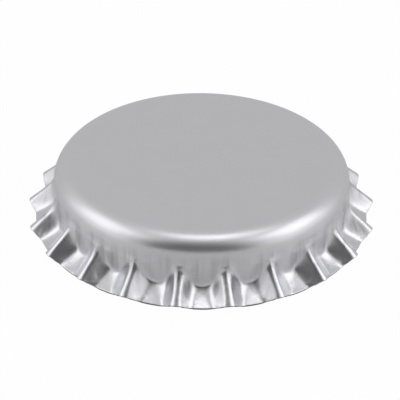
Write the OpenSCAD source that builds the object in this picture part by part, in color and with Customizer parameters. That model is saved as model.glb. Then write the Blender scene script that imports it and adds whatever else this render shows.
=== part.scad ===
// Crown cap for a 26 mm bottle finish: a pressed tinplate shell with a fluted skirt,
// and the sealing liner that is moulded into it.
// The cap stands on the edge of its skirt at z = 0, with its top at z = cap_h.
// A valley of the skirt faces -Y.

/* [Shell] */
// Bore of the plain wall, which seats on the bottle's ring
bore_d = 26.75; // [26.45:0.05:27.05]
// Height from the skirt's edge to the top panel
cap_h = 6.0; // [5.7:0.05:6.4]
// Thickness of the tinplate
sheet_t = 0.24; // [0.18:0.01:0.28]
// Outside radius of the shoulder between the panel and the wall
shoulder_r = 2.0; // [1.4:0.1:2.2]

/* [Skirt] */
// Number of flutes
flutes = 21; // [20:1:22]
// How far the tips of the flutes reach out from the wall
flute_reach = 2.435; // [2.2:0.005:2.7]
// How far the skirt's edge reaches out from the wall in the valleys
valley_reach = 1.7; // [1.4:0.005:1.8]
// Height of the flute tips above the edge of the valleys
tip_lift = 0.65; // [0.4:0.05:0.75]
// Slope of the flute crests below the horizontal
crest_slope = 46; // [43:1:49]
// Slope of the flutes' sides in their own section
flank_slope = 51; // [47:1:55]
// Outside radius of the flute crests
crest_r = 0.6; // [0.45:0.05:0.75]
// Slope of the flared valleys below the horizontal
flare_slope = 37; // [31:1:39]
// Outside radius of the bend where the wall turns out into the flare
foot_r = 0.4; // [0.2:0.05:0.6]

/* [Liner] */
// Thickness of the thin web inside the sealing rings
web_t = 0.25; // [0.2:0.05:0.4]
// Distance from the wall's inside in to the middle of the outer sealing ring
outer_ring_inset = 1.55; // [1.4:0.05:1.7]
// Radius of the outer ring's bead
outer_bead_r = 0.7; // [0.6:0.05:0.8]
// Depth of the outer ring below the inside of the panel
outer_ring_t = 0.95; // [0.8:0.05:1.05]
// Distance from the wall's inside in to the middle of the inner sealing ring
inner_ring_inset = 3.05; // [2.9:0.05:3.3]
// Radius of the inner ring's bead
inner_bead_r = 0.35; // [0.3:0.05:0.45]
// Depth of the inner ring below the inside of the panel
inner_ring_t = 0.5; // [0.45:0.05:0.6]

/* [Hidden] */
$fn = 128;

// How far the forming solids run past what they cut or join
overrun = 1.5;

// Radii of the wall's outside, the valley edge and the flute tips
wall_r = bore_d / 2 + sheet_t;
valley_r = wall_r + valley_reach;
tip_r = wall_r + flute_reach;

// The sheet's edge lies on a cone from the valley edge up to the flute tips. Its slope:
edge_slope = atan(tip_lift / (flute_reach - valley_reach));
// Height of the sheet's outside at the valley edge, with its underside on z = 0
valley_z = sheet_t * sin(edge_slope) / sin(edge_slope + flare_slope);
tip_z = valley_z + tip_lift;

// Height at which the wall would meet the flare without its bend
foot_z = valley_z + valley_reach * tan(flare_slope);
// Centre of the bend
bend_tangent = tan(45 - flare_slope / 2);
bend_centre = [wall_r + foot_r, foot_z + foot_r * bend_tangent];

// Length of a flute's crest from its tip to the wall, and the depth of its section
crest_l = flute_reach / cos(crest_slope);
flute_depth = 3 * crest_r;

// Point at a distance from a centre, in a direction measured from +X
function polar(centre, distance, angle) =
    centre + distance * [cos(angle), sin(angle)];

// Half section of the solid under the cap's outside face, moved outwards by grow
module cap_section(grow) {
    shoulder_z = cap_h - shoulder_r;
    bend_r = foot_r - grow;
    steps = 8;
    bend = [
        for (i = [0 : steps])
            polar(bend_centre, bend_r, 180 + (90 - flare_slope) * i / steps)
    ];
    flare_end = bend[steps] + (bend_centre[1] + overrun) / sin(flare_slope)
        * [cos(flare_slope), -sin(flare_slope)];
    polygon(concat(
        [[0, flare_end[1] - sheet_t + grow], [0, shoulder_z], [wall_r + grow, shoulder_z]],
        bend,
        [flare_end, [flare_end[0], flare_end[1] - sheet_t + grow]]
    ));
    square([wall_r - shoulder_r, cap_h + grow]);
    intersection() {
        translate([wall_r - shoulder_r, shoulder_z]) circle(r = shoulder_r + grow);
        square([wall_r + grow, cap_h + grow]);
    }
}

// Section of one flute across its crest, with the crest of the outside face at y = 0
module flute_section(grow) {
    crest_centre = [0, -crest_r];
    crest_end = polar(crest_centre, crest_r + grow, 90 - flank_slope);
    base_x = crest_end[0] + (flute_depth + crest_end[1]) / tan(flank_slope);
    translate(crest_centre) circle(r = crest_r + grow);
    polygon([
        crest_end,
        [base_x, -flute_depth],
        [-base_x, -flute_depth],
        [-crest_end[0], crest_end[1]]
    ]);
}

// One flute on the +X side, from past its tip to inside the wall
module flute(grow) {
    translate([tip_r, 0, tip_z])
        rotate([0, crest_slope - 90, 0])
            rotate([0, 0, -90])
                translate([0, 0, -overrun])
                    linear_extrude(crest_l + 2 * overrun)
                        flute_section(grow);
}

// The solid under the cap's outside face, moved outwards by grow
module pressed_form(grow) {
    rotate_extrude() cap_section(grow);
    for (i = [0 : flutes - 1])
        rotate([0, 0, 90 + i * 360 / flutes]) flute(grow);
}

// Everything beyond the cone on which the sheet's edge lies
module past_the_edge() {
    inner_r = wall_r - overrun;
    outer_r = tip_r + 2 * overrun;
    floor_z = -4 * overrun;
    rotate_extrude()
        polygon([
            [inner_r, floor_z],
            [inner_r, valley_z - (valley_r - inner_r) * tan(edge_slope)],
            [outer_r, valley_z + (outer_r - valley_r) * tan(edge_slope)],
            [outer_r, floor_z]
        ]);
}

// The pressed tinplate shell, one sheet thickness all over
module shell() {
    color("silver")
        difference() {
            pressed_form(0);
            pressed_form(-sheet_t);
            past_the_edge();
        }
}

// The sealing liner, which fills the inside corner of the shell behind its outer ring
module liner() {
    panel_z = cap_h - sheet_t;
    outer_ring_r = bore_d / 2 - outer_ring_inset;
    inner_ring_r = bore_d / 2 - inner_ring_inset;
    color("whitesmoke")
        rotate_extrude()
            intersection() {
                cap_section(-sheet_t);
                union() {
                    translate([0, panel_z - web_t]) square([outer_ring_r, web_t + sheet_t]);
                    translate([outer_ring_r, panel_z - outer_ring_t + outer_bead_r])
                        circle(r = outer_bead_r);
                    translate([inner_ring_r, panel_z - inner_ring_t + inner_bead_r])
                        circle(r = inner_bead_r);
                }
            }
}

shell();
liner();
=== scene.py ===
"""Looks of the crown cap: a fluted tinplate shell and the sealing liner inside it.

The two pieces are built as meshes in millimetres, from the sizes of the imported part, and placed in metres.
"""
import math

import bpy
import numpy as np
from mathutils import Matrix, Vector


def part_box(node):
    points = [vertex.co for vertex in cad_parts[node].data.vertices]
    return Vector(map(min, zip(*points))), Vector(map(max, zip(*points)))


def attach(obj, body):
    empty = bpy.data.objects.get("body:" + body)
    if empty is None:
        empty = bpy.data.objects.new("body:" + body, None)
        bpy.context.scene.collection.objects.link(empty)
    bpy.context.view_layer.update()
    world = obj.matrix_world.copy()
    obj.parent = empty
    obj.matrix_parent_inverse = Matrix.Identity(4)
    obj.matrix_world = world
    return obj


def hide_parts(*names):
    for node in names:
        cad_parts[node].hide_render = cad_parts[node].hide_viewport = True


MM = 0.001

# ---------------------------------------------------------------- shell, in millimetres and degrees

SHEET_T = 0.24
SHOULDER_R = 2.00

# Flutes: their number, how far their tips reach out from the wall, and the slope of their crests
FLUTES = 21
PITCH = 2 * math.pi / FLUTES
FLUTE_REACH = 2.435
CREST_SLOPE = 41.7

# Section across a flute at three heights, low, halfway and high: the crest's radius, the flanks' slope, and
# the blend with the wall
FLUTE_LOW = 0.5
FLUTE_TOP = 3.2
CREST_R = (0.62, 0.45, 0.81)
FLANK_ANGLE = (57, 58, 47)
FLUTE_BLEND = (0.55, 0.59, 2.09)

# Valleys: their reach at the edge, and the fold where the wall turns out into them, higher at both ends
VALLEY_REACH = 1.707
FOLD_Z = 1.37
FOLD_SLOPE = 56.9
FOLD_BLEND = 0.29
FLARE_POWER = 1.68
FOOT_HALF = 0.80
FOOT_RISE = 0.23

# Cut edge: its rise from the valleys to the tips, the sheet's slope at it, and the radius of its corners
TIP_LIFT = 0.63
EDGE_SLOPE = 28
EDGE_ROUND = 0.05

# Wall: how far it is drawn in at the flutes, and the faint upright wrinkle between two of them
GROOVE = 0.18
GROOVE_LOW = 3.40
GROOVE_TOP = 4.39
WRINKLE = 0.03
WRINKLE_HALF = 0.42
WRINKLE_LOW = 2.10
WRINKLE_TOP = 4.57

# Small differences from flute to flute, as a press leaves them: degrees, shares of a value, and millimetres
SEED = 4
FLUTE_SHIFT = 0.25
CREST_SPREAD = 0.12
FLANK_SPREAD = 2.0
FOLD_SPREAD = 0.04
REACH_SPREAD = 0.03
WRINKLE_SPREAD = 0.5
WRINKLE_SHIFT = 0.05

# Columns of the shell's mesh to a flute, crowded at its crest
COLUMNS_PER_FLUTE = 36
COLUMN_CROWDING = 0.35

# Rings of the shell's mesh: their radii on the panel, as shares of its rim's, their number round the
# shoulder, and their number down to each of three heights and then to the edge
OUTER_PANEL_SHARES = (0.3, 0.7, 0.97)
INNER_PANEL_SHARES = (0.4, 0.9)
OUTER_SHOULDER_STEPS = 12
INNER_SHOULDER_STEPS = 8
UPPER_Z = 3.0
MIDDLE_Z = 1.9
LOWER_Z = 1.0
OUTER_SKIRT_STEPS = (12, 14, 18, 16)
INNER_SKIRT_STEPS = (6, 6, 8, 8)

# Rings round each corner of the cut edge, in degrees, and how many of them still count as tinned
CORNER_TURNS = (22, 45, 68, 90)
TINNED_CORNER_RINGS = 2

# Step to either side for the slope of the face, in radians round it and in millimetres up it
NORMAL_STEP = 1e-4

# ---------------------------------------------------------------- liner, in millimetres

# Thickness of its web, and each sealing ring's distance in from the wall, bead radius and depth
WEB_T = 0.25
OUTER_RING_INSET = 1.55
OUTER_BEAD_R = 0.7
OUTER_RING_T = 0.95
INNER_RING_INSET = 3.05
INNER_BEAD_R = 0.35
INNER_RING_T = 0.5
RING_FILLET = 0.10

# Mesh of the liner: columns round it, radius of its first ring, and rings on web, bead and corner
LINER_COLUMNS = 256
WEB_START_R = 0.5
WEB_POINTS = 12
BEAD_POINTS = 25
LINER_CORNER_POINTS = 8

# ---------------------------------------------------------------- surfaces

# A scale is in cells a metre, a depth in metres, and a fade runs from none to full between two heights in mm
TIN_DARK = (0.785, 0.785, 0.817, 1)
TIN_LIGHT = (0.805, 0.805, 0.838, 1)
TIN_ROUGHNESS = (0.31, 0.33)
# Cut edge: bare steel, its colour darkened further as painted shade
STEEL_AND_SHADE_COLOUR = (0.17, 0.17, 0.18, 1)
STEEL_ROUGHER = 0.2
MOTTLE_SCALE = 450
GRAIN_SCALE = 3800
GRAIN_DEPTH = 0.0000016
SKIRT_GLOSS = 0.04
GLOSS_FADE = (3.8, 2.8)
DRAW_MARK_SCALE = 1100
DRAW_MARK_SQUASH = 0.08
DRAW_MARK_DEPTH = 0.00004
DRAW_MARK_FADE = (5.0, 3.6)
# Painted shade: darker upright stripes down the wall, faded out towards its top and its foot
SHADE_STREAK_SCALE = 1200
SHADE_STREAK_SQUASH = 0.05
SHADE_STREAK_RANGE = (0.48, 0.68)
PAINTED_SHADE_COLOUR = (0.60, 0.60, 0.624, 1)
SHADE_TOP_FADE = (4.6, 3.4)
SHADE_FOOT_FADE = (1.2, 2.0)

LINER_DARK = (0.70, 0.71, 0.69, 1)
LINER_LIGHT = (0.80, 0.81, 0.78, 1)
LINER_ROUGHNESS = (0.34, 0.46)
CLOUD_SCALE = 350
PORE_SCALE = 5000
PORE_DEPTH = 0.00001
PORE_STRENGTH = 0.3

# The part of a noise's range that a roughness follows
NOISE_RANGE = (0.3, 0.7)

# ---------------------------------------------------------------- stage, in metres and degrees

# Floor and room: the floor's half width, its height, and how pale, shiny and white to the camera it is
FLOOR_HALF = 0.6
FLOOR_Z = -0.00001
FLOOR_GREY = 0.82
FLOOR_SHEEN = 0.32
FLOOR_ROUGHNESS = 0.54
FLOOR_WHITENESS = 0.98
ROOM_GREY = 0.554
WHITE = (1, 1, 1, 1)

# Softboxes: their distance, their widths and heights, and the azimuths of those at the sides
SOFTBOX_DISTANCE = 0.5
SIDE_BOX = (0.32, 0.30)
SIDE_GLOW = (0.60, 0.50)
LOW_STRIP = (0.50, 0.16)
FRONT_BOX = (0.22, 0.40)
TOP_BOX = (0.20, 0.20)
LEFT = -87
RIGHT = 84

# Points round a dark card's curved side
CARD_POINTS = 33

SENSOR_MM = 36
LENS_MM = 198.5
CLIP = (0.001, 10)
CAMERA_AZIMUTH = -0.57
CAMERA_ELEVATION = 32.74
CAMERA_DISTANCE = 0.2045
CAMERA_ROLL = 0.62
CAMERA_AIM_MM = (-0.132, 0, 1.577)


# ---------------------------------------------------------------- shell shape

def smooth_max(a, b, blend):
    """The larger of a and b, with a rounded change from one to the other."""
    overlap = np.maximum(blend - np.abs(a - b), 0) / blend
    return np.maximum(a, b) + overlap ** 3 * blend / 6


def eased(z, heights, values):
    """The value at height z, where values change smoothly from one height to the next."""
    heights, values = np.asarray(heights), np.asarray(values)
    k = np.clip(np.searchsorted(heights, z) - 1, 0, len(heights) - 2)
    t = np.clip((z - heights[k]) / (heights[k + 1] - heights[k]), 0, 1)
    t = t * t * (3 - 2 * t)
    return values[k] * (1 - t) + values[k + 1] * t


def along_flute(z, values):
    """The value at height z, on a parabola through its values low, halfway and high on a flute."""
    low, middle, top = values
    t = np.clip((z - FLUTE_LOW) / (FLUTE_TOP - FLUTE_LOW), 0, 1)
    return low * (1 - t) * (1 - 2 * t) + 4 * middle * t * (1 - t) + top * t * (2 * t - 1)


class Skirt:
    """The outside face of the wall and skirt: its radius at an angle and a height."""

    def __init__(self, tip_r):
        self.tip_r = tip_r
        self.wall_r = tip_r - FLUTE_REACH
        self.valley_r = self.wall_r + VALLEY_REACH
        self.valley_z = SHEET_T * math.cos(math.radians(EDGE_SLOPE))
        self.tip_z = self.valley_z + TIP_LIFT
        rng = np.random.default_rng(SEED)
        spread = rng.uniform(-1, 1, (7, FLUTES))
        self.shift = np.radians(FLUTE_SHIFT) * spread[0]
        self.crest_share = 1 + CREST_SPREAD * spread[1]
        self.flank_turn = FLANK_SPREAD * spread[2]
        self.fold_lift = FOLD_SPREAD * spread[3]
        self.reach_more = REACH_SPREAD * spread[4]
        self.wrinkle = WRINKLE * (1 + WRINKLE_SPREAD * spread[5])
        self.wrinkle_place = WRINKLE_SHIFT * spread[6]

    def valley_at(self, theta):
        """Number of the valley at an angle, and the share of the way across it, from flute to flute."""
        turns = (theta - math.pi / 2) / PITCH
        before = np.floor(turns)
        return before.astype(int) % FLUTES, turns - before

    def wall(self, theta, z):
        """Radius of the wall, drawn in a little at the flutes, with a faint wrinkle between them."""
        number, share = self.valley_at(theta)
        drawn = GROOVE * np.cos(math.pi * share) ** 2 * eased(z, (GROOVE_LOW, GROOVE_TOP), (1, 0))
        aside = (share - 0.5 - self.wrinkle_place[number]) * PITCH * self.wall_r / WRINKLE_HALF
        middle = (WRINKLE_LOW + WRINKLE_TOP) / 2
        strength = self.wrinkle[number] * eased(z, (WRINKLE_LOW, middle, WRINKLE_TOP), (0, 1, 0))
        return self.wall_r - drawn + strength * np.exp(-aside ** 2)

    def flare(self, theta, z):
        """Radius of the flared valley, steep below its curved fold and flatter at the cut edge."""
        number, share = self.valley_at(theta)
        aside = (share - 0.5) * PITCH * self.wall_r / FOOT_HALF
        fold_z = FOLD_Z + self.fold_lift[number] + FOOT_RISE * aside ** 2
        reach = VALLEY_REACH + self.reach_more[number] * np.sin(math.pi * share) ** 2
        full = fold_z - self.valley_z
        start = 1 / math.tan(math.radians(FOLD_SLOPE))
        bend = (reach - start * full) / full ** FLARE_POWER
        return self.wall_r + start * (fold_z - z) + bend * np.maximum(fold_z - z, 0) ** FLARE_POWER

    def flute(self, theta, z, side):
        """Radius of the flute before (0) or after (1) an angle: a round crest between two flat flanks."""
        valley, share = self.valley_at(theta)
        number = (valley + side) % FLUTES
        phi = (share - side) * PITCH - self.shift[number]
        crest = self.tip_r + (self.tip_z - z) / math.tan(math.radians(CREST_SLOPE))
        flank = np.radians(along_flute(z, FLANK_ANGLE) + self.flank_turn[number])
        crest_r = along_flute(z, CREST_R) * self.crest_share[number] / self.tip_r
        across = np.abs(np.sin(phi))
        end = crest_r * np.sin(flank)
        drop = crest_r - np.sqrt(crest_r ** 2 - np.minimum(across, end) ** 2)
        drop = drop + np.maximum(across - end, 0) * np.tan(flank)
        return crest / (np.cos(phi) + drop)

    def radius(self, theta, z):
        """Radius of the whole face: wall, valley and both flutes, with rounded changes between them."""
        r = smooth_max(self.wall(theta, z), self.flare(theta, z), FOLD_BLEND)
        blend = along_flute(z, FLUTE_BLEND)
        for side in (0, 1):
            r = smooth_max(r, self.flute(theta, z, side), blend)
        return r

    def edge_z(self, theta):
        """Height of the cut edge, which rises from the valleys to the tips."""
        low = np.full_like(theta, self.valley_z)
        reach = self.radius(theta, low) - self.valley_r
        tip_reach = self.tip_r + TIP_LIFT / math.tan(math.radians(CREST_SLOPE)) - self.valley_r
        return self.valley_z + TIP_LIFT * np.clip(reach / tip_reach, 0, 1)

    def point(self, theta, z):
        r = self.radius(theta, z)
        return np.stack([r * np.cos(theta), r * np.sin(theta), z + 0 * r], axis=-1)

    def normal(self, theta, z):
        step = NORMAL_STEP
        along = self.point(theta + step, z) - self.point(theta - step, z)
        up = self.point(theta, z + step) - self.point(theta, z - step)
        n = np.cross(along, up)
        return n / np.linalg.norm(n, axis=-1, keepdims=True)

    def ring(self, theta, z, offset):
        """A ring of points on the face, moved out along its normal by an offset."""
        return self.point(theta, z) + offset * self.normal(theta, z)


def column_angles():
    """Angles of the mesh columns, closer together at the flute crests."""
    u = np.arange(-COLUMNS_PER_FLUTE // 2, COLUMNS_PER_FLUTE // 2) / COLUMNS_PER_FLUTE
    u = u - COLUMN_CROWDING * np.sin(2 * np.pi * u) / (2 * np.pi)
    return np.concatenate([math.pi / 2 + (k + u) * PITCH for k in range(FLUTES)])


def spaced(*stops):
    """Numbers from stop to stop, each stop given as (value, steps to the next)."""
    out = []
    for (a, steps), (b, _) in zip(stops, stops[1:]):
        out += [a + (b - a) * i / steps for i in range(steps)]
    return np.array(out + [stops[-1][0]])


def circle_ring(theta, r, z):
    return np.stack([r * np.cos(theta), r * np.sin(theta), z + 0 * theta], axis=-1)


def panel_rings(skirt, theta, z, shares):
    """Rings from near the middle of the panel to near its rim."""
    rim_r = skirt.wall_r - SHOULDER_R
    return [circle_ring(theta, rim_r * share, z) for share in shares]


def shoulder_rings(skirt, theta, cap_h, offset, steps):
    """Rings from the panel's rim round the shoulder to the top of the wall."""
    rings = []
    for i in range(steps):
        a = math.pi / 2 * (1 - i / steps)
        r = skirt.wall_r - SHOULDER_R + (SHOULDER_R + offset) * math.cos(a)
        z = cap_h - SHOULDER_R + (SHOULDER_R + offset) * math.sin(a)
        rings.append(circle_ring(theta, r, z))
    return rings


def skirt_rings(skirt, theta, cap_h, offset, steps):
    """Rings from the top of the wall down: level ones to LOWER_Z, then ones that follow the cut edge."""
    to_upper, to_middle, to_lower, to_edge = steps
    shoulder_z = cap_h - SHOULDER_R
    heights = spaced((shoulder_z, to_upper), (UPPER_Z, to_middle), (MIDDLE_Z, to_lower), (LOWER_Z, 0))
    rings = [skirt.ring(theta, z + 0 * theta, offset) for z in heights]
    edge = skirt.edge_z(theta)
    for share in np.arange(1, to_edge + 1) / to_edge:
        rings.append(skirt.ring(theta, LOWER_Z + (edge - LOWER_Z) * share, offset))
    return rings


def edge_rings(skirt, theta, outer_last, outer_before):
    """Rings round the cut edge, from the outside face to the inside one, with small round corners."""
    n = skirt.normal(theta, outer_last[:, 2])
    down = outer_last - outer_before
    down -= (down * n).sum(1, keepdims=True) * n
    down /= np.linalg.norm(down, axis=1, keepdims=True)
    turns = np.radians(CORNER_TURNS)
    outer_centre = outer_last - EDGE_ROUND * n
    inner_centre = outer_last - (SHEET_T - EDGE_ROUND) * n
    rings = [outer_centre + EDGE_ROUND * (math.cos(a) * n + math.sin(a) * down) for a in turns]
    rings += [inner_centre + EDGE_ROUND * (-math.cos(a) * n + math.sin(a) * down) for a in turns[::-1]]
    return rings


def shell_rings(tip_r, cap_h):
    """The shell's rings outside, round its cut edge and inside, the first and last from the panel down."""
    skirt = Skirt(tip_r)
    theta = column_angles()
    outside = panel_rings(skirt, theta, cap_h, OUTER_PANEL_SHARES)
    outside += shoulder_rings(skirt, theta, cap_h, 0, OUTER_SHOULDER_STEPS)
    outside += skirt_rings(skirt, theta, cap_h, 0, OUTER_SKIRT_STEPS)
    edge = edge_rings(skirt, theta, outside[-1], outside[-2])
    inside = panel_rings(skirt, theta, cap_h - SHEET_T, INNER_PANEL_SHARES)
    inside += shoulder_rings(skirt, theta, cap_h, -SHEET_T, INNER_SHOULDER_STEPS)
    inside += skirt_rings(skirt, theta, cap_h, -SHEET_T, INNER_SKIRT_STEPS)
    return outside, edge, inside


# ---------------------------------------------------------------- liner shape

def liner_depth(r, wall_in_r):
    """Depth of the liner's underside below the panel: a thin web with two sealing rings."""
    outer_ring = (OUTER_RING_INSET, OUTER_BEAD_R, OUTER_RING_T)
    inner_ring = (INNER_RING_INSET, INNER_BEAD_R, INNER_RING_T)
    depth = np.full_like(r, WEB_T)
    for inset, bead_r, ring_t in (outer_ring, inner_ring):
        aside = np.minimum(np.abs(r - (wall_in_r - inset)) / bead_r, 1)
        bead = ring_t - bead_r + bead_r * np.sqrt(1 - aside ** 2)
        depth = smooth_max(depth, np.where(aside < 1, bead, 0), RING_FILLET)
    return depth


def liner_rings(wall_in_r, panel_z):
    """The liner's rings: its underside from the middle out, and back along the inside of the shell."""
    theta = np.linspace(0, 2 * math.pi, LINER_COLUMNS, endpoint=False)
    outer_ring_r = wall_in_r - OUTER_RING_INSET
    inner_ring_r = wall_in_r - INNER_RING_INSET
    turn = np.linspace(math.pi, 0, BEAD_POINTS)
    radii = np.concatenate([
        np.linspace(WEB_START_R, inner_ring_r - 2 * INNER_BEAD_R, WEB_POINTS),
        inner_ring_r + INNER_BEAD_R * np.cos(turn),
        outer_ring_r + OUTER_BEAD_R * np.cos(turn),
    ])
    depths = liner_depth(radii, wall_in_r)
    rings = [circle_ring(theta, r, panel_z - depth) for r, depth in zip(radii, depths)]
    corner_r = SHOULDER_R - SHEET_T
    rim_r = wall_in_r - corner_r
    start = math.asin((outer_ring_r + OUTER_BEAD_R - rim_r) / corner_r)
    for a in np.linspace(start, 0, LINER_CORNER_POINTS):
        z = panel_z - corner_r * (1 - math.cos(a))
        rings.append(circle_ring(theta, rim_r + corner_r * math.sin(a), z))
    rings.append(circle_ring(theta, rim_r / 2, panel_z))
    return rings


# ---------------------------------------------------------------- objects

def new_object(name, data):
    obj = bpy.data.objects.new(name, data)
    bpy.context.scene.collection.objects.link(obj)
    return obj


def mesh_object(name, points, faces):
    mesh = bpy.data.meshes.new(name)
    mesh.from_pydata(points, [], faces)
    mesh.validate()
    return new_object(name, mesh)


def ring_object(name, rings, centre_first, centre_last):
    """A smooth mesh of quads between rings of points, closed by a fan at each end's centre point."""
    count = len(rings[0])
    column = np.arange(count)
    after = np.roll(column, -1)
    quads = []
    for k in range(len(rings) - 1):
        a, b = k * count, (k + 1) * count
        quads.append(np.stack([a + column, b + column, b + after, a + after], axis=1))
    faces = [tuple(int(v) for v in quad) for quad in np.concatenate(quads)]
    first_hub = len(rings) * count
    last_hub = first_hub + 1
    last = (len(rings) - 1) * count
    faces += [(first_hub, int(i), int(j)) for i, j in zip(column, after)]
    faces += [(last_hub, int(last + j), int(last + i)) for i, j in zip(column, after)]
    points = [tuple(point) for point in np.concatenate(rings)] + [centre_first, centre_last]
    obj = mesh_object(name, [(x * MM, y * MM, z * MM) for x, y, z in points], faces)
    obj.data.polygons.foreach_set("use_smooth", [True] * len(obj.data.polygons))
    obj.data.update()
    return obj


def build_shell(tip_r, cap_h):
    """The pressed shell, with an attribute that tells the cut edge from the tinned faces."""
    outside, edge, inside = shell_rings(tip_r, cap_h)
    rings = outside + edge + inside[::-1]
    obj = ring_object("cap_shell", rings, (0, 0, cap_h), (0, 0, cap_h - SHEET_T))
    count = len(edge[0])
    first = (len(outside) + TINNED_CORNER_RINGS) * count
    last = (len(outside) + len(edge) - TINNED_CORNER_RINGS) * count
    cut = np.zeros(len(obj.data.vertices), dtype=np.float32)
    cut[first:last] = 1
    attribute = obj.data.attributes.new("cut", "FLOAT", "POINT")
    attribute.data.foreach_set("value", cut)
    return obj


def build_liner(wall_in_r, panel_z):
    """The moulded liner, for the inside radius of the wall and the height of the panel's inside."""
    rings = liner_rings(wall_in_r, panel_z)
    return ring_object("cap_liner", rings, (0, 0, panel_z - WEB_T), (0, 0, panel_z))


# ---------------------------------------------------------------- materials

class Shading:
    """The nodes of one material or world."""

    def __init__(self, owner):
        owner.use_nodes = True
        self.nodes = owner.node_tree.nodes
        self.links = owner.node_tree.links
        self.nodes.clear()

    def node(self, kind, inputs=None, **settings):
        """A new node with its settings, and with each of its inputs set to a value or linked to a socket."""
        node = self.nodes.new("ShaderNode" + kind)
        for name, value in settings.items():
            setattr(node, name, value)
        for name, value in (inputs or {}).items():
            if isinstance(value, bpy.types.NodeSocket):
                self.links.new(value, node.inputs[name])
            else:
                node.inputs[name].default_value = value
        return node

    def noise(self, vector, scale, detail):
        return self.node("TexNoise", {"Vector": vector, "Scale": scale, "Detail": detail}).outputs["Fac"]

    def mapped(self, value, old, new):
        """The value carried over from an old range to a new one, and held at its ends."""
        inputs = {"Value": value, "From Min": old[0], "From Max": old[1], "To Min": new[0], "To Max": new[1]}
        return self.node("MapRange", inputs).outputs["Result"]

    def faded(self, height, fade, full=1):
        """Nothing at the first height of a fade, and the full amount at the second."""
        return self.mapped(height, (fade[0] * MM, fade[1] * MM), (0, full))

    def squashed(self, vector, factor):
        """Coordinates that change more slowly upwards, which draws a noise out into upright marks."""
        node = self.node("VectorMath", {0: vector, 1: (1, 1, factor)}, operation="MULTIPLY")
        return node.outputs["Vector"]

    def combined(self, operation, a, b):
        return self.node("Math", {0: a, 1: b}, operation=operation).outputs["Value"]

    def mixed(self, share, first, second):
        inputs = {"Factor": share, "A": first, "B": second}
        return self.node("Mix", inputs, data_type="RGBA").outputs["Result"]

    def bump(self, height, distance, strength=1.0, before=None):
        inputs = {"Height": height, "Distance": distance, "Strength": strength}
        if before is not None:
            inputs["Normal"] = before
        return self.node("Bump", inputs).outputs["Normal"]


def new_material(name):
    material = bpy.data.materials.new(name)
    return material, Shading(material)


def tinplate_colour(shading, position, height, mottle, cut):
    """Faintly mottled tin, with painted shade in darker upright stripes down the wall, and bare steel
    darkened with painted shade on the cut edge.
    """
    tin = shading.mixed(mottle, TIN_DARK, TIN_LIGHT)
    # Painted shade: darker upright stripes on the lower wall, between the two fades
    shade_streaks = shading.noise(shading.squashed(position, SHADE_STREAK_SQUASH), SHADE_STREAK_SCALE, detail=2)
    shade_streaks = shading.mapped(shade_streaks, SHADE_STREAK_RANGE, (0, 1))
    shade_under_top = shading.faded(height, SHADE_TOP_FADE)
    shade_above_foot = shading.faded(height, SHADE_FOOT_FADE)
    shade_streaks = shading.combined("MULTIPLY", shade_streaks, shading.combined("MULTIPLY", shade_under_top, shade_above_foot))
    shaded_tin = shading.mixed(shade_streaks, tin, PAINTED_SHADE_COLOUR)
    # Cut edge: bare steel, darkened further as painted shade
    return shading.mixed(cut, shaded_tin, STEEL_AND_SHADE_COLOUR)


def tinplate_roughness(shading, height, mottle, cut):
    """Satin tin, a little glossier where the skirt was drawn, and rougher steel on the cut edge."""
    rough = shading.mapped(mottle, NOISE_RANGE, TIN_ROUGHNESS)
    rough = shading.combined("SUBTRACT", rough, shading.faded(height, GLOSS_FADE, SKIRT_GLOSS))
    return shading.combined("ADD", rough, shading.combined("MULTIPLY", cut, STEEL_ROUGHER))


def tinplate_relief(shading, position, height):
    """A fine rolled grain, over faint draw marks down the wall."""
    draw_marks = shading.noise(shading.squashed(position, DRAW_MARK_SQUASH), DRAW_MARK_SCALE, detail=2)
    draw_marks = shading.combined("MULTIPLY", draw_marks, shading.faded(height, DRAW_MARK_FADE))
    grain = shading.noise(position, GRAIN_SCALE, detail=2)
    normal = shading.bump(draw_marks, DRAW_MARK_DEPTH)
    return shading.bump(grain, GRAIN_DEPTH, before=normal)


def tinplate_material():
    """Bright tinplate, pressed from flat sheet and cut at its edge."""
    material, shading = new_material("tinplate")
    position = shading.node("TexCoord").outputs["Object"]
    height = shading.node("SeparateXYZ", {0: position}).outputs["Z"]
    mottle = shading.noise(position, MOTTLE_SCALE, detail=3)
    cut = shading.node("Attribute", attribute_name="cut").outputs["Fac"]
    shader = shading.node("BsdfPrincipled", {
        "Metallic": 1.0,
        "Base Color": tinplate_colour(shading, position, height, mottle, cut),
        "Roughness": tinplate_roughness(shading, height, mottle, cut),
        "Normal": tinplate_relief(shading, position, height),
    })
    shading.node("OutputMaterial", {"Surface": shader.outputs["BSDF"]})
    return material


def liner_material():
    """Moulded liner plastic: milky, soft and slightly uneven."""
    material, shading = new_material("liner")
    position = shading.node("TexCoord").outputs["Object"]
    cloud = shading.noise(position, CLOUD_SCALE, detail=4)
    pores = shading.noise(position, PORE_SCALE, detail=2)
    shader = shading.node("BsdfPrincipled", {
        "Base Color": shading.mixed(cloud, LINER_DARK, LINER_LIGHT),
        "Roughness": shading.mapped(cloud, NOISE_RANGE, LINER_ROUGHNESS),
        "Normal": shading.bump(pores, PORE_DEPTH, PORE_STRENGTH),
    })
    shading.node("OutputMaterial", {"Surface": shader.outputs["BSDF"]})
    return material


# ---------------------------------------------------------------- stage

def grey(value):
    return value, value, value, 1


def direction(azimuth, elevation):
    """Unit vector towards an azimuth from -Y round to +X, and an elevation, in degrees."""
    a, e = math.radians(azimuth), math.radians(elevation)
    return Vector((math.sin(a) * math.cos(e), -math.cos(a) * math.cos(e), math.sin(e)))


def place_facing_part(obj, azimuth, elevation, distance):
    """Put an object at a distance from the part, with its -Z side towards it."""
    towards = direction(azimuth, elevation)
    obj.location = towards * distance
    obj.rotation_mode = "QUATERNION"
    obj.rotation_quaternion = towards.to_track_quat("Z", "Y")


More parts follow.
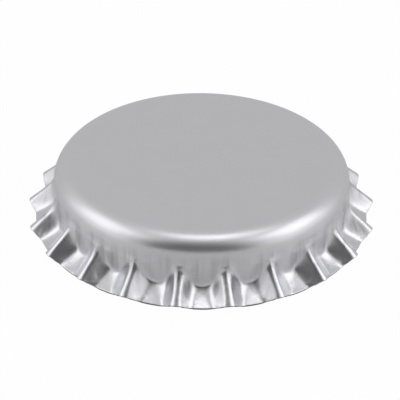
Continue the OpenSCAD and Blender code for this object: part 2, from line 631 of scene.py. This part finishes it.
def floor():
    """A pale floor with a soft sheen, which the camera itself sees as nearly white."""
    half = FLOOR_HALF
    corners = [(-half, -half), (half, -half), (half, half), (-half, half)]
    obj = mesh_object("floor", [(x, y, FLOOR_Z) for x, y in corners], [(0, 1, 2, 3)])
    material, shading = new_material("floor")
    paper = shading.node("BsdfDiffuse", {"Color": grey(FLOOR_GREY)})
    gloss = shading.node("BsdfGlossy", {"Roughness": FLOOR_ROUGHNESS})
    sheen = shading.node("MixShader", {0: FLOOR_SHEEN, 1: paper.outputs[0], 2: gloss.outputs[0]})
    white = shading.node("Emission", {"Color": WHITE})
    camera_ray = shading.node("LightPath").outputs["Is Camera Ray"]
    share = shading.combined("MULTIPLY", camera_ray, FLOOR_WHITENESS)
    surface = shading.node("MixShader", {0: share, 1: sheen.outputs[0], 2: white.outputs[0]})
    shading.node("OutputMaterial", {"Surface": surface.outputs[0]})
    obj.data.materials.append(material)


def room():
    """An evenly grey room, which the camera itself sees as a white backdrop."""
    world = bpy.data.worlds.new("studio")
    bpy.context.scene.world = world
    shading = Shading(world)
    walls = shading.node("Background", {"Color": grey(ROOM_GREY)})
    backdrop = shading.node("Background", {"Color": WHITE})
    camera_ray = shading.node("LightPath").outputs["Is Camera Ray"]
    surface = shading.node("MixShader", {0: camera_ray, 1: walls.outputs[0], 2: backdrop.outputs[0]})
    shading.node("OutputWorld", {"Surface": surface.outputs[0]})


def softbox(name, azimuth, elevation, size, radiance):
    """An evenly bright rectangle of light, of a width and height."""
    width, height = size
    light = bpy.data.lights.new(name, "AREA")
    light.shape = "RECTANGLE"
    light.size, light.size_y = size
    light.energy = radiance * math.pi * width * height
    place_facing_part(new_object(name, light), azimuth, elevation, SOFTBOX_DISTANCE)


def lights():
    """Softboxes at both sides, with a strip near the floor under each, and small boxes above."""
    softbox("left_box", LEFT, elevation=38, size=SIDE_BOX, radiance=0.623)
    softbox("left_glow", LEFT, elevation=36, size=SIDE_GLOW, radiance=0.138)
    softbox("left_low", LEFT, elevation=12, size=LOW_STRIP, radiance=0.228)
    softbox("right_box", RIGHT, elevation=38, size=SIDE_BOX, radiance=0.863)
    softbox("right_low", RIGHT, elevation=12, size=LOW_STRIP, radiance=0.317)
    softbox("right_front", azimuth=48, elevation=35, size=FRONT_BOX, radiance=0.265)
    softbox("top_right", azimuth=90, elevation=76, size=TOP_BOX, radiance=0.517)
    softbox("top_left", azimuth=-90, elevation=76, size=TOP_BOX, radiance=0.065)
    softbox("top", azimuth=0, elevation=89.9, size=TOP_BOX, radiance=0.726)


def dark_card(elevation, distance, width, height, value):
    """A half-round card in front, its straight side down, which keeps the room's light off the cap."""
    turn = np.linspace(0, math.pi, CARD_POINTS)
    outline = [(math.cos(a) * width / 2, (math.sin(a) - 0.5) * height, 0) for a in turn]
    obj = mesh_object("dark_card", outline, [tuple(range(CARD_POINTS))])
    place_facing_part(obj, 0, elevation, distance)
    material, shading = new_material("dark_card")
    glow = shading.node("Emission", {"Color": grey(value)})
    shading.node("OutputMaterial", {"Surface": glow.outputs[0]})
    obj.data.materials.append(material)
    obj.visible_camera = False
    obj.visible_shadow = False


def camera():
    """A long lens that looks down on the front of the part, turned a little about its own axis."""
    data = bpy.data.cameras.new("camera")
    data.sensor_width = SENSOR_MM
    data.lens = LENS_MM
    data.clip_start, data.clip_end = CLIP
    obj = new_object("camera", data)
    back = direction(CAMERA_AZIMUTH, CAMERA_ELEVATION)
    obj.location = Vector(CAMERA_AIM_MM) * MM + back * CAMERA_DISTANCE
    obj.rotation_mode = "QUATERNION"
    look = (-back).to_track_quat("-Z", "Y")
    obj.rotation_quaternion = look @ Matrix.Rotation(math.radians(CAMERA_ROLL), 4, "Z").to_quaternion()
    bpy.context.scene.camera = obj


# ---------------------------------------------------------------- scene

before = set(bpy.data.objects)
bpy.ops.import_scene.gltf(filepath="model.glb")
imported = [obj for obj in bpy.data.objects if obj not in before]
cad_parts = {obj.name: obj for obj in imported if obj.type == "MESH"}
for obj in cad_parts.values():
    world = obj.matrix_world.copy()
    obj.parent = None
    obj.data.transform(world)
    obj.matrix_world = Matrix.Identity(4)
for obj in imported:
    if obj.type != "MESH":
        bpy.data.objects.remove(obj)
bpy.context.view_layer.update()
_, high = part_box("shell")
tip_r = high.y / MM
cap_h = high.z / MM

shell = build_shell(tip_r, cap_h)
shell.data.materials.append(tinplate_material())
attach(shell, "root")
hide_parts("shell")

liner = build_liner(tip_r - FLUTE_REACH - SHEET_T, cap_h - SHEET_T)
liner.data.materials.append(liner_material())
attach(liner, "root")
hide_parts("liner")

floor()
room()
lights()
dark_card(elevation=39.1, distance=0.60, width=1.10, height=0.56, value=0.165)
dark_card(elevation=32.8, distance=0.55, width=0.83, height=0.25, value=0.082)
camera()
bpy.context.scene.view_settings.view_transform = "Standard"
